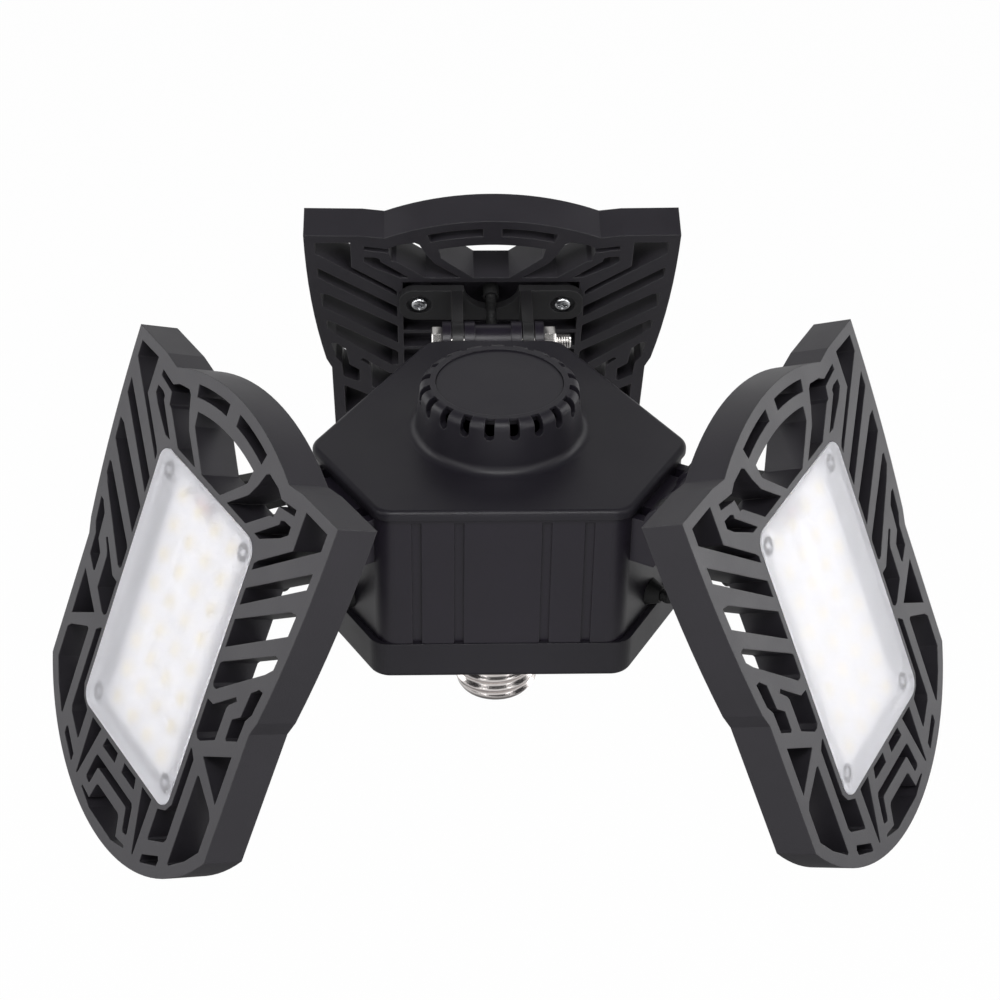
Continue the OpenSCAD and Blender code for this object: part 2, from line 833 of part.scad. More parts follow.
module heatsink(i) {
    color("#3a393c")
        on_panel(i)
            difference() {
                sink_block();
                slab(back_n - cut, front_dist + cut) {
                    crown_holes();
                    for (h = middle_holes)
                        polygon(both(fit(h)));
                    mirrored()
                        for (h = concat(top_holes, side_holes, foot_holes))
                            polygon(fit(h));
                }
                slab(ledge_n, front_dist + cut)
                    translate([0, lens_mid])
                        round_rect(lens_w + 2 * seat_gap, lens_h + 2 * seat_gap, lens_corner_r + seat_gap);
                slab(floor_n, ledge_n + cut)
                    translate([0, lens_mid])
                        round_rect(inner_w, inner_h, lens_corner_r);
                rear_cells();
                for (x = [-screw_x, screw_x])
                    translate([x, back_n - cut, -screw_drop])
                        rotate([-90, 0, 0])
                            cylinder(r = screw_r - 0.2, h = cut + rear_n - back_n + 0.6);
                for (x = [-post_x, post_x], z = post_z)
                    translate([x, back_n - cut, z])
                        rotate([-90, 0, 0])
                            cylinder(r = post_hole_r + 0.3, h = sink_t);
                translate([0, back_n, gland_z])
                    rotate([-90, 0, 0])
                        cylinder(r = gland_hole_r, h = sink_t);
            }
}

// open cells between the fins on the rear face, and the pocket that the bracket covers
module rear_cells() {
    top = tray_top - tray_wall - seat_gap;
    cell_top = plate_top - plate_h;
    foot = tray_foot + tray_wall;
    rows = floor((cell_top - foot) / fin_pitch);
    difference() {
        slab(back_n - cut, rear_n)
            translate([-rear_x, foot])
                square([2 * rear_x, top - foot]);
        slab(back_n - 2 * cut, rear_n + cut) {
            for (k = [0:rows])
                translate([-rear_x - cut, cell_top - k * fin_pitch - fin_t])
                    square([2 * (rear_x + cut), fin_t]);
            for (x = [-screw_x, screw_x])
                translate([x, -screw_drop])
                    circle(boss_r);
            for (x = [-post_x, post_x], z = post_z)
                translate([x, z])
                    circle(post_r);
        }
    }
}

module led_board(i) {
    color("#eceae4")
        on_panel(i)
            slab(floor_n, floor_n + board_t)
                difference() {
                    translate([0, lens_mid])
                        square([board_w, board_h], center = true);
                    translate([-cable_r - 1, gland_z - cable_r - 1])
                        square([2 * (cable_r + 1), board_h]);
                }
}

module led_chips(i) {
    chip_w = 2.8;
    chip_h = 3.5;
    chip_t = 0.8;
    dx = board_w / chip_cols;
    dz = board_h / chip_rows;
    color("#e8c860")
        on_panel(i)
            slab(floor_n + board_t, floor_n + board_t + chip_t)
                translate([-board_w / 2, lens_mid - board_h / 2])
                    for (c = [0:chip_cols - 1], r = [0:chip_rows - 1])
                        translate([(c + 0.5) * dx, (r + 0.5) * dz])
                            square([chip_w, chip_h], center = true);
}

module lens(i) {
    face = front_dist + lens_proud;
    color("#f4f4f8")
        on_panel(i)
            difference() {
                union() {
                    slab(face - lens_t, face)
                        translate([0, lens_mid])
                            round_rect(lens_w, lens_h, lens_corner_r);
                    for (x = [-post_x, post_x], z = post_z)
                        translate([x, floor_n, z])
                            rotate([-90, 0, 0])
                                cylinder(r = post_r, h = face - floor_n - 0.5);
                }
                for (x = [-post_x, post_x], z = post_z)
                    translate([x, floor_n - cut, z])
                        rotate([-90, 0, 0])
                            cylinder(r = post_hole_r, h = cut + 4);
            }
}

module lens_seal(i) {
    color("#dcdce0")
        on_panel(i)
            slab(ledge_n, ledge_n + seal_t)
                translate([0, lens_mid])
                    difference() {
                        round_rect(lens_w, lens_h, lens_corner_r);
                        round_rect(inner_w, inner_h, lens_corner_r - ledge_w / 2);
                    }
}

// side view of a bracket ear: an eye round the bolt that widens to the plate
module ear_outline() {
    face = back_n - plate_t;
    foot = plate_top - plate_h + 2;
    difference() {
        union() {
            polygon([[0, eye_r - 0.2], [face, plate_top], [face, foot], [1.5, -eye_r + 0.7], [-1, 0]]);
            circle(eye_r);
        }
        circle(bolt_r + bore_gap);
    }
}

module bracket(i) {
    face = back_n - plate_t;
    color("#343337")
        on_panel(i) {
            difference() {
                slab(face, back_n)
                    difference() {
                        translate([0, plate_top - plate_h / 2])
                            round_rect(plate_w, plate_h, 5);
                        translate([0, plate_top])
                            circle(notch_r);
                    }
                for (x = [-screw_x, screw_x])
                    translate([x, face - cut, -screw_drop])
                        rotate([-90, 0, 0]) {
                            cylinder(r = recess_r, h = cut + recess_d);
                            cylinder(r = screw_r + 0.2, h = cut + plate_t + cut);
                        }
            }
            mirrored()
                side_plate(block_half + side_gap, block_half + side_gap + ear_t)
                    ear_outline();
        }
}

module bracket_screws(i) {
    face = back_n - plate_t + recess_d;
    color("#c4c4c8")
        on_panel(i)
            for (x = [-screw_x, screw_x])
                translate([x, face, -screw_drop])
                    rotate([-90, 0, 0]) {
                        translate([0, 0, -head_t])
                            cylinder(r = screw_head_r, h = head_t);
                        cylinder(r = screw_r - 0.25, h = plate_t - recess_d + rear_n - back_n);
                    }
}

module gland(i) {
    color("#1d1d20")
        on_panel(i)
            translate([0, rear_n - gland_len, gland_z])
                rotate([-90, 0, 0])
                    difference() {
                        union() {
                            cylinder(r = gland_r, h = gland_len);
                            translate([0, 0, gland_len - 0.1])
                                cylinder(r = gland_hole_r - seat_gap, h = floor_t);
                        }
                        translate([0, 0, -cut])
                            cylinder(r = cable_r + seat_gap, h = gland_len + floor_t + 2 * cut);
                    }
}

// ---------- panel cables ----------

// (out, up) points of a cable past the gland, each from the hinge axis, chosen by hand
cable_mid = [[15, 0], [12.5, -8], [6, -20], [-1, -30]];
cable_sides = 8;
cable_steps = 3;

// place in the hinge plane of a point of the panel (n out, v up) at a lean
function swung(n, v, lean) = [n * cos(lean) - v * sin(lean), n * sin(lean) + v * cos(lean)];
function cable_points(lean) = concat(
    [for (d = [-1, 1, gland_len + 0.5, gland_len + 4]) swung(rear_n - d, gland_z, lean)],
    cable_mid,
    [for (d = [grommet_len + 2.5, grommet_len + 0.5, 1, -shell_t - 2])
        [house_short + d - hinge_r, wall_z + grommet_rise - hinge_z]]);
// smooth curve through four neighbouring points
function blend(a, b, c, d, t) = 0.5 * ((2 * b) + (c - a) * t + (2 * a - 5 * b + 4 * c - d) * t * t
    + (3 * b - a - 3 * c + d) * t * t * t);
function route(p) = let (n = len(p) - 1) concat(
    [for (i = [0:n - 1], k = [0:cable_steps - 1])
        blend(p[max(i - 1, 0)], p[i], p[i + 1], p[min(i + 2, n)], k / cable_steps)], [p[n]]);
// rings of points square to a route that lies in the hinge plane
function rings(p) = let (n = len(p) - 1) [for (i = [0:n])
    let (d = p[min(i + 1, n)] - p[max(i - 1, 0)], e = d / norm(d))
    [for (k = [0:cable_sides - 1]) let (w = 360 * k / cable_sides)
        [cable_r * cos(w), p[i][0] - e[1] * cable_r * sin(w), p[i][1] + e[0] * cable_r * sin(w)]]];

module tube(rs) {
    n = len(rs);
    m = cable_sides;
    polyhedron([for (r = rs, q = r) q],
        concat([[for (k = [0:m - 1]) k]],
            [for (i = [0:n - 2], k = [0:m - 1])
                [i * m + k, (i + 1) * m + k, (i + 1) * m + (k + 1) % m, i * m + (k + 1) % m]],
            [[for (k = [m - 1:-1:0]) (n - 1) * m + k]]));
}

module cable(i) {
    color("#17171a")
        on_side(i)
            translate([0, hinge_r, hinge_z])
                tube(rings(route(cable_points(leans[i]))));
}

// ---------- the assembly ----------

top_cover();
dome_disc();
housing();
bottom_cover();
cover_screws();
screw_shell();
base_insulator();
centre_contact();
driver_board();
transformer();
capacitors();
hinge_bolt(0);  // hinge_bolt_back
hinge_bolt(1);  // hinge_bolt_left
hinge_bolt(2);  // hinge_bolt_right
hinge_nut(0);  // hinge_nut_back
hinge_nut(1);  // hinge_nut_left
hinge_nut(2);  // hinge_nut_right
grommet(0);  // grommet_back
grommet(1);  // grommet_left
grommet(2);  // grommet_right
heatsink(0);  // heatsink_back
heatsink(1);  // heatsink_left
heatsink(2);  // heatsink_right
led_board(0);  // led_board_back
led_board(1);  // led_board_left
led_board(2);  // led_board_right
led_chips(0);  // led_chips_back
led_chips(1);  // led_chips_left
led_chips(2);  // led_chips_right
lens_seal(0);  // lens_seal_back
lens_seal(1);  // lens_seal_left
lens_seal(2);  // lens_seal_right
lens(0);  // lens_back
lens(1);  // lens_left
lens(2);  // lens_right
bracket(0);  // bracket_back
bracket(1);  // bracket_left
bracket(2);  // bracket_right
bracket_screws(0);  // bracket_screws_back
bracket_screws(1);  // bracket_screws_left
bracket_screws(2);  // bracket_screws_right
gland(0);  // gland_back
gland(1);  // gland_left
gland(2);  // gland_right
cable(0);  // cable_back
cable(1);  // cable_left
cable(2);  // cable_right
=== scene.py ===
"""Looks of a deformable garage light: three hinged panels on a screw-in body."""

import math

import bmesh
import bpy
from mathutils import Matrix, Vector


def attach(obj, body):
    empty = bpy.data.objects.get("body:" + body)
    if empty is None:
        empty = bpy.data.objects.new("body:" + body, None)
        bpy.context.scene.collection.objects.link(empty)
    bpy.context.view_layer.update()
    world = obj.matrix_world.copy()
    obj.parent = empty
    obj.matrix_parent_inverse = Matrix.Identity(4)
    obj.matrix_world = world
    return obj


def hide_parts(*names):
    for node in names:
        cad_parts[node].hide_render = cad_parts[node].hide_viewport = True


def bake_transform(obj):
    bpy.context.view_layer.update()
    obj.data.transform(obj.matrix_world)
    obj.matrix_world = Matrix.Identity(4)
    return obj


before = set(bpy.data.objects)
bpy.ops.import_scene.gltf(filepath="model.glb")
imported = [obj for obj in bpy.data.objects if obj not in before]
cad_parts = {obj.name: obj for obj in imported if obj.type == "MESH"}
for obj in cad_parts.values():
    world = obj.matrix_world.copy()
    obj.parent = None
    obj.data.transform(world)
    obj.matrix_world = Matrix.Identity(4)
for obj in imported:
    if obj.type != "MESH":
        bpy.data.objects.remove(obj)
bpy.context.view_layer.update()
scene = bpy.context.scene
scene.view_settings.view_transform = "Standard"

# ---------------------------------------------------------------- sizes, in mm

MM = Matrix.Scale(0.001, 4)

# hinge side of each panel: direction round the lamp axis, and how far its lens looks up, in degrees
SIDES = {"back": (90, 20.2), "left": (210, 22.3), "right": (330, 23.9)}
# distance of the hinge axis from the lamp axis, and its height
HINGE_R = 61
HINGE_Z = 65.4

# the lamp base: rim, rolled thread, and outlines of (radius, height) for its plain ends
RIM_R = 13.1
THREAD_ROOT_R = 12
THREAD_CREST_R = RIM_R - 0.05
THREAD_PITCH = 3.63
THREAD_LOW, THREAD_HIGH = -20.6, -2.9
RIM_OUTLINE = [(11.8, 0), (12.7, 0), (RIM_R, -0.35), (RIM_R, -2.75), (12.7, -3.1), (12.2, -3.2)]
FOOT_OUTLINE = [(12.1, -20.4), (12.25, -20.9), (12.1, -21.7), (11.6, -22.6), (10.8, -23.2),
                (10, -23.4), (7.7, -23.4), (7.7, -22.9)]

# pan heads of the screws under the bottom cover: size, directions and place of their seats
COVER_HEAD_R, COVER_HEAD_H = 2.8, 1.8
COVER_SCREW_TURNS = (-90, 30, 150)
COVER_SCREW_R, COVER_SCREW_Z = 37.4, 15

# hinge bolts and nuts, drawn along the hinge from its middle
LUG_OUT = 16.1
BOLT_R = 2.5
BOLT_HEAD_H = 3.5
BOLT_PITCH = 0.8
BOLT_THREAD_DEPTH = 0.3
BOLT_END = 4.8
NUT_H = 4
HEX_FLATS = 8
HEX_CHAMFER = 0.35

# screws of the bracket plate: (across, up) from the hinge axis; back of the heat sink, thickness
# of the plate and depth of the recess for a head, measured outwards
PLATE_SCREW = (23.5, -6.4)
PLATE_HEAD_R, PLATE_HEAD_H = 2.7, 1.7
BACK_N = 23.5
PLATE_T = 2.6
RECESS_DEPTH = 1.1

# panel leads: (out, up) places from the hinge axis between gland and grommet, the rear of the
# tray floor and the gland in it, the wall of the body and the grommet in it
LEAD_R = 1.7
LEAD_MIDDLE = [(15, 0), (12.5, -8), (6, -20), (-1, -30)]
REAR_N = 27.4
GLAND_LEN = 4.4
GLAND_RISE = -5
WALL_R = 51.2
WALL_T = 2.4
GROMMET_LEN = 4
GROMMET_Z = 30

# leads of the light board: distance across of their solder pads, sizes of lead and solder
BOARD_PADS = {"red": 8.4, "black": 12.6}
BOARD_LEAD_R = 0.55
SOLDER_R = 1.1


def side_matrix(side):
    """From the hinge's frame to the model: x along the hinge, y outwards, z up from its axis."""
    turn = math.radians(SIDES[side][0] - 90)
    return MM @ Matrix.Rotation(turn, 4, "Z") @ Matrix.Translation((0, HINGE_R, HINGE_Z))


def panel_matrix(side):
    """From a panel's own frame to the model, at rest."""
    return side_matrix(side) @ Matrix.Rotation(math.radians(SIDES[side][1]), 4, "X")


# ---------------------------------------------------------------- camera, angles in degrees

CAMERA_YAW, CAMERA_PITCH, CAMERA_ROLL = 2.35, 34.21, -0.98
# in m: from the point it looks at, and of that point from the model's origin
CAMERA_DISTANCE = 0.63437
CAMERA_ASIDE, CAMERA_RISE = 0.00066, 0.0455
# in mm
CAMERA_SENSOR, CAMERA_LENS = 36, 75.856


def add_camera():
    """Camera fitted to the photograph: yaw round Z, downward pitch, a small roll."""
    yaw, pitch, roll = map(math.radians, (CAMERA_YAW, CAMERA_PITCH, CAMERA_ROLL))
    right = Vector((math.cos(yaw), -math.sin(yaw), 0))
    ahead = Vector((math.sin(yaw), math.cos(yaw), 0))
    up = math.sin(pitch) * ahead + Vector((0, 0, math.cos(pitch)))
    look = math.cos(pitch) * ahead - Vector((0, 0, math.sin(pitch)))
    tilted_right = math.cos(roll) * right - math.sin(roll) * up
    tilted_up = math.sin(roll) * right + math.cos(roll) * up
    place = CAMERA_ASIDE * right - CAMERA_DISTANCE * look + Vector((0, 0, CAMERA_RISE))
    facing = Matrix((tilted_right, tilted_up, -look)).transposed().to_4x4()
    data = bpy.data.cameras.new("camera")
    data.sensor_width = CAMERA_SENSOR
    data.lens = CAMERA_LENS
    camera = bpy.data.objects.new("camera", data)
    scene.collection.objects.link(camera)
    camera.matrix_world = Matrix.Translation(place) @ facing
    scene.camera = camera


add_camera()

# ---------------------------------------------------------------- shader groups

BEVEL_SAMPLES = 4
FLOAT = "NodeSocketFloat"


class Nodes:
    """A node tree with short calls: in_Name=value sets an input, other names set a property."""

    def __init__(self, tree):
        self.tree = tree

    def add(self, kind, **values):
        node = self.tree.nodes.new(kind)
        for key, value in values.items():
            if key.startswith("in_"):
                name = key.removeprefix("in_")
                socket = int(name) if name.isdigit() else name.replace("_", " ")
                node.inputs[socket].default_value = value
            else:
                setattr(node, key, value)
        return node

    def join(self, source, target):
        self.tree.links.new(source, target)


def shader_group(name, inputs, outputs):
    """A new group of numbers in and numbers out, with its input and output nodes."""
    tree = bpy.data.node_groups.new(name, "ShaderNodeTree")
    for label, value in inputs.items():
        socket = tree.interface.new_socket(label, in_out="INPUT", socket_type=FLOAT)
        socket.default_value = value
    for label in outputs:
        tree.interface.new_socket(label, in_out="OUTPUT", socket_type=FLOAT)
    nodes = Nodes(tree)
    return nodes, nodes.add("NodeGroupInput"), nodes.add("NodeGroupOutput")


def grain_group():
    """Spark-eroded mould grain: height of fine bumps, and a slow mask for tone and roughness."""
    nodes, given, out = shader_group(
        "mould_grain", {"Size": 2500.0, "Drift": 60.0}, ["Height", "Mask"])
    place = nodes.add("ShaderNodeTexCoord")
    fine = nodes.add("ShaderNodeTexNoise", in_Detail=3.0, in_Roughness=0.6)
    slow = nodes.add("ShaderNodeTexNoise", in_Detail=2.0)
    nodes.join(place.outputs["Object"], fine.inputs["Vector"])
    nodes.join(place.outputs["Object"], slow.inputs["Vector"])
    nodes.join(given.outputs["Size"], fine.inputs["Scale"])
    nodes.join(given.outputs["Drift"], slow.inputs["Scale"])
    nodes.join(fine.outputs["Fac"], out.inputs["Height"])
    nodes.join(slow.outputs["Fac"], out.inputs["Mask"])
    return nodes.tree


def wear_and_rim_highlight_group():
    """Mask of the exposed edges, where a finish is rubbed thin; on the lens it marks the rim for a
    painted highlight.
    """
    nodes, given, out = shader_group("edge_wear_and_rim_highlight", {"Width": 0.0006, "Amount": 0.5}, ["Mask"])
    soft = nodes.add("ShaderNodeBevel", samples=BEVEL_SAMPLES)
    plain = nodes.add("ShaderNodeNewGeometry")
    match = nodes.add("ShaderNodeVectorMath", operation="DOT_PRODUCT")
    edge = nodes.add("ShaderNodeMapRange", in_From_Min=0.995, in_From_Max=0.86)
    noise = nodes.add("ShaderNodeTexNoise", in_Scale=900.0, in_Detail=4.0)
    place = nodes.add("ShaderNodeTexCoord")
    broken = nodes.add("ShaderNodeMath", operation="MULTIPLY")
    scaled = nodes.add("ShaderNodeMath", operation="MULTIPLY", use_clamp=True)
    nodes.join(given.outputs["Width"], soft.inputs["Radius"])
    nodes.join(soft.outputs["Normal"], match.inputs[0])
    nodes.join(plain.outputs["Normal"], match.inputs[1])
    nodes.join(match.outputs["Value"], edge.inputs["Value"])
    nodes.join(place.outputs["Object"], noise.inputs["Vector"])
    nodes.join(edge.outputs["Result"], broken.inputs[0])
    nodes.join(noise.outputs["Fac"], broken.inputs[1])
    nodes.join(broken.outputs["Value"], scaled.inputs[0])
    nodes.join(given.outputs["Amount"], scaled.inputs[1])
    nodes.join(scaled.outputs["Value"], out.inputs["Mask"])
    return nodes.tree


GRAIN = grain_group()
WEAR_AND_RIM_HIGHLIGHT = wear_and_rim_highlight_group()

# ---------------------------------------------------------------- materials


def new_material(name, **sockets):
    """A material with its node tree and its shader; sockets are the shader's inputs by name."""
    material = bpy.data.materials.new(name)
    material.use_nodes = True
    nodes = Nodes(material.node_tree)
    shader = material.node_tree.nodes["Principled BSDF"]
    for key, value in sockets.items():
        shader.inputs[key.replace("_", " ")].default_value = value
    return material, nodes, shader


def grained(nodes, shader, size, drift, rough, edge, strength, depth):
    """Grain in the roughness and the surface, over eased edges. Gives back the grain's node."""
    grain = nodes.add("ShaderNodeGroup", node_tree=GRAIN, in_Size=size, in_Drift=drift)
    span = nodes.add("ShaderNodeMapRange", in_To_Min=rough[0], in_To_Max=rough[1])
    soft = nodes.add("ShaderNodeBevel", samples=BEVEL_SAMPLES, in_Radius=edge)
    bump = nodes.add("ShaderNodeBump", in_Strength=strength, in_Distance=depth)
    nodes.join(grain.outputs["Mask"], span.inputs["Value"])
    nodes.join(span.outputs["Result"], shader.inputs["Roughness"])
    nodes.join(grain.outputs["Height"], bump.inputs["Height"])
    nodes.join(soft.outputs["Normal"], bump.inputs["Normal"])
    nodes.join(bump.outputs["Normal"], shader.inputs["Normal"])
    return grain


def two_tones(nodes, grain, first, second):
    """A colour that drifts between two tones with the grain's mask."""
    tone = nodes.add("ShaderNodeMix", data_type="RGBA")
    tone.inputs["A"].default_value = (*first, 1)
    tone.inputs["B"].default_value = (*second, 1)
    nodes.join(grain.outputs["Mask"], tone.inputs["Factor"])
    return tone.outputs["Result"]


# how far the two tones of a finish lie from its colour, how strong its grain is, and how much
# wider than its eased edges they are worn
TONE_SPREAD = 0.14
GRAIN_STRENGTH = 0.6
WEAR_WIDTH = 1.5


def finish(name, colour, worn, rough, rough_range=0.08, size=2500.0, depth=0.00003, wear=0.4,
           edge=0.0004, drift=60.0, **sockets):
    """A painted or moulded finish: two close tones, worn edges and grain."""
    material, nodes, shader = new_material(name, **sockets)
    grain = grained(nodes, shader, size, drift, (rough - rough_range, rough + rough_range), edge,
                    GRAIN_STRENGTH, depth)
    dark = [c * (1 - TONE_SPREAD) for c in colour]
    light = [min(1, c * (1 + TONE_SPREAD)) for c in colour]
    rub = nodes.add("ShaderNodeGroup", node_tree=WEAR_AND_RIM_HIGHLIGHT, in_Width=edge * WEAR_WIDTH, in_Amount=wear)
    rubbed = nodes.add("ShaderNodeMix", data_type="RGBA")
    rubbed.inputs["B"].default_value = (*worn, 1)
    nodes.join(two_tones(nodes, grain, dark, light), rubbed.inputs["A"])
    nodes.join(rub.outputs["Mask"], rubbed.inputs["Factor"])
    nodes.join(rubbed.outputs["Result"], shader.inputs["Base Color"])
    return material


def plated(name, colour, rough):
    """Bright plated metal with faint drawing marks and a thin film of handling."""
    return finish(name, colour, [min(1, c * 1.2) for c in colour], rough, rough_range=0.06,
                  size=1500.0, depth=0.00001, wear=0.5, edge=0.00015, drift=220.0, Metallic=1.0)


body_plastic = finish("body_plastic", (0.0165, 0.0148, 0.0205), (0.05, 0.05, 0.052), 0.42,
                      Specular_IOR_Level=0.4)
wall_plastic = finish("wall_plastic", (0.017, 0.0138, 0.022), (0.05, 0.05, 0.052), 0.36,
                      Specular_IOR_Level=0.42)
sink_paint = finish("sink_paint", (0.0245, 0.0225, 0.028), (0.12, 0.12, 0.12), 0.46,
                    size=1700.0, depth=0.00005, Specular_IOR_Level=0.45)
bracket_paint = finish("bracket_paint", (0.02, 0.0195, 0.021), (0.08, 0.08, 0.08), 0.42,
                       size=2000.0, Specular_IOR_Level=0.45)
rubber = finish("rubber", (0.014, 0.014, 0.0145), (0.03, 0.03, 0.03), 0.6, wear=0.1,
                Specular_IOR_Level=0.35)
insulator_black = finish("insulator_black", (0.012, 0.012, 0.013), (0.03, 0.03, 0.03), 0.3,
                         wear=0.2)
nickel = plated("nickel", (0.72, 0.70, 0.68), 0.2)
shell_nickel = plated("shell_nickel", (0.84, 0.79, 0.77), 0.22)
zinc = plated("zinc", (0.70, 0.71, 0.73), 0.26)
brass = plated("contact_brass", (0.72, 0.55, 0.28), 0.3)
board_white = finish("board_white", (0.86, 0.86, 0.84), (0.9, 0.9, 0.9), 0.5,
                     depth=0.00001, wear=0.1)
board_green = finish("board_green", (0.03, 0.15, 0.06), (0.1, 0.3, 0.15), 0.4,
                     depth=0.00001, wear=0.2)
coil_tape = finish("coil_tape", (0.7, 0.5, 0.1), (0.8, 0.6, 0.2), 0.5, depth=0.00002, wear=0.2)
sleeve = finish("capacitor_sleeve", (0.03, 0.035, 0.06), (0.1, 0.1, 0.12), 0.35,
                depth=0.00001, wear=0.2)
phosphor = finish("phosphor", (0.85, 0.66, 0.2), (0.9, 0.8, 0.4), 0.45, depth=0.00002, wear=0.1)
seal_white = finish("seal_white", (0.7, 0.7, 0.71), (0.75, 0.75, 0.75), 0.55,
                    depth=0.00002, wear=0.1)
red_lead = finish("red_lead", (0.55, 0.02, 0.02), (0.6, 0.1, 0.1), 0.45, depth=0.00001, wear=0.1)
black_lead = finish("black_lead", (0.02, 0.02, 0.02), (0.05, 0.05, 0.05), 0.45,
                    depth=0.00001, wear=0.1)

# the frosted lens: how clear it is at its rim, made less clear there to paint a highlight along the
# edge, and the share of a lamp's light it lets by
LENS_HIGHLIGHT_RIM_CLEARNESS = 0.25
LENS_PASSES = 0.62
LENS_EDGE = 0.0006


def frosted_lens():
    """Frosted clear plastic with a fine grain; lamps shine through it to the white board. A
    highlight is painted along its rim, which is made less clear.
    """
    material, nodes, shader = new_material("frosted_lens", IOR=1.47, Specular_IOR_Level=0.25)
    grain = grained(nodes, shader, 3600.0, 120.0, (0.40, 0.48), LENS_EDGE, 0.5, 0.00006)
    tone = two_tones(nodes, grain, (0.84, 0.84, 0.88), (0.92, 0.92, 0.955))
    speckle = nodes.add("ShaderNodeMapRange", in_From_Min=0.35, in_From_Max=0.65,
                        in_To_Min=0.95, in_To_Max=0.72)
    # painted highlight: along the rim the lens is made less clear, so its edge shows whiter
    rim = nodes.add("ShaderNodeGroup", node_tree=WEAR_AND_RIM_HIGHLIGHT, in_Width=LENS_EDGE, in_Amount=1.5)
    clearness = nodes.add("ShaderNodeMix", data_type="FLOAT", in_B=LENS_HIGHLIGHT_RIM_CLEARNESS)
    path = nodes.add("ShaderNodeLightPath")
    passed = nodes.add("ShaderNodeMath", operation="MULTIPLY", in_1=LENS_PASSES)
    clear = nodes.add("ShaderNodeBsdfTransparent")
    mix = nodes.add("ShaderNodeMixShader")
    out = material.node_tree.nodes["Material Output"]
    nodes.join(tone, shader.inputs["Base Color"])
    nodes.join(grain.outputs["Height"], speckle.inputs["Value"])
    nodes.join(speckle.outputs["Result"], clearness.inputs["A"])
    nodes.join(rim.outputs["Mask"], clearness.inputs["Factor"])
    nodes.join(clearness.outputs["Result"], shader.inputs["Transmission Weight"])
    nodes.join(path.outputs["Is Shadow Ray"], passed.inputs[0])
    nodes.join(passed.outputs["Value"], mix.inputs["Fac"])
    nodes.join(shader.outputs["BSDF"], mix.inputs[1])
    nodes.join(clear.outputs["BSDF"], mix.inputs[2])
    nodes.join(mix.outputs["Shader"], out.inputs["Surface"])
    return material


lens_plastic = frosted_lens()

NODE_FINISH = {
    "top_cover": body_plastic, "dome_disc": body_plastic, "bottom_cover": body_plastic,
    "housing": wall_plastic, "base_insulator": insulator_black, "centre_contact": brass,
    "driver_board": board_green, "transformer": coil_tape, "capacitors": sleeve,
    "heatsink": sink_paint, "led_board": board_white, "led_chips": phosphor,
    "lens_seal": seal_white, "lens": lens_plastic, "bracket": bracket_paint,
    "gland": rubber, "grommet": rubber, "cable": rubber,
    "cover_screws": zinc, "bracket_screws": zinc, "screw_shell": shell_nickel,
    "hinge_bolt": nickel, "hinge_nut": nickel,
}

for name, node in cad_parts.items():
    kind = name
    for side in SIDES:
        kind = kind.removesuffix("_" + side)
    for piece_slot in node.material_slots:
        piece_slot.material = NODE_FINISH[kind]

# ---------------------------------------------------------------- making pieces

# vertices nearer than this become one, in a piece and between the turns of a thread
MERGE_GAP = 0.002
TURN_GAP = 0.003
# heights nearer than this are the same
SAME_HEIGHT = 1e-5


def add_piece(bm, name, material, matrix, smooth=35):
    """Turns a bmesh drawn in mm in its own frame into a finished object at the model's origin."""
    bmesh.ops.remove_doubles(bm, verts=bm.verts, dist=MERGE_GAP)
    bmesh.ops.recalc_face_normals(bm, faces=bm.faces)
    bm.transform(matrix)
    mesh = bpy.data.meshes.new(name)
    bm.to_mesh(mesh)
    bm.free()
    mesh.materials.append(material)
    mesh.shade_smooth()
    mesh.set_sharp_from_angle(angle=math.radians(smooth))
    piece = bpy.data.objects.new(name, mesh)
    scene.collection.objects.link(piece)
    return piece


def polyline(bm, points):
    """Vertices joined in a row, to be spun."""
    verts = [bm.verts.new(p) for p in points]
    edges = [bm.edges.new(pair) for pair in zip(verts, verts[1:])]
    return verts + edges


def lathe(bm, outline, steps):
    """Spins an outline of (radius, height) points round Z."""
    profile = polyline(bm, [(r, 0, z) for r, z in outline])
    bmesh.ops.spin(bm, geom=profile, cent=(0, 0, 0), axis=(0, 0, 1), angle=2 * math.pi,
                   steps=steps, use_merge=True)


def thread(bm, root_r, crest_r, pitch, low, high, steps, points=10):
    """A rounded thread between two heights: one pitch of climb in a full turn, trimmed square.

    The trim cuts all that the bmesh holds, so a thread is made before anything else in it.
    """
    turns = math.ceil((high - low) / pitch) + 2
    middle, swing = (crest_r + root_r) / 2, (crest_r - root_r) / 2
    profile = polyline(bm, [(middle + swing * math.cos(2 * math.pi * k / points), 0,
                             low - pitch + k * pitch / points) for k in range(turns * points)])
    bmesh.ops.spin(bm, geom=profile, cent=(0, 0, 0), axis=(0, 0, 1), dvec=(0, 0, pitch / steps),
                   angle=2 * math.pi, steps=steps, use_merge=False)
    bmesh.ops.remove_doubles(bm, verts=bm.verts, dist=TURN_GAP)
    for height, normal in ((low, (0, 0, -1)), (high, (0, 0, 1))):
        bmesh.ops.bisect_plane(bm, geom=bm.verts[:] + bm.edges[:] + bm.faces[:],
                               plane_co=(0, 0, height), plane_no=normal, clear_outer=True)


def extruded(bm, faces, **options):
    """Extrudes faces, and gives back the new vertices and the new faces."""
    geom = bmesh.ops.extrude_face_region(bm, geom=faces, **options)["geom"]
    return ([v for v in geom if isinstance(v, bmesh.types.BMVert)],
            [f for f in geom if isinstance(f, bmesh.types.BMFace)])


def capped_ring(bm, segments, radius, matrix):
    """A flat face with its rim on a circle."""
    ring = bmesh.ops.create_circle(bm, cap_ends=True, segments=segments, radius=radius,
                                   matrix=matrix)["verts"]
    return [f for f in bm.faces if all(v in ring for v in f.verts)]


# taper of a cross recess towards its floor
RECESS_TAPER = 0.72


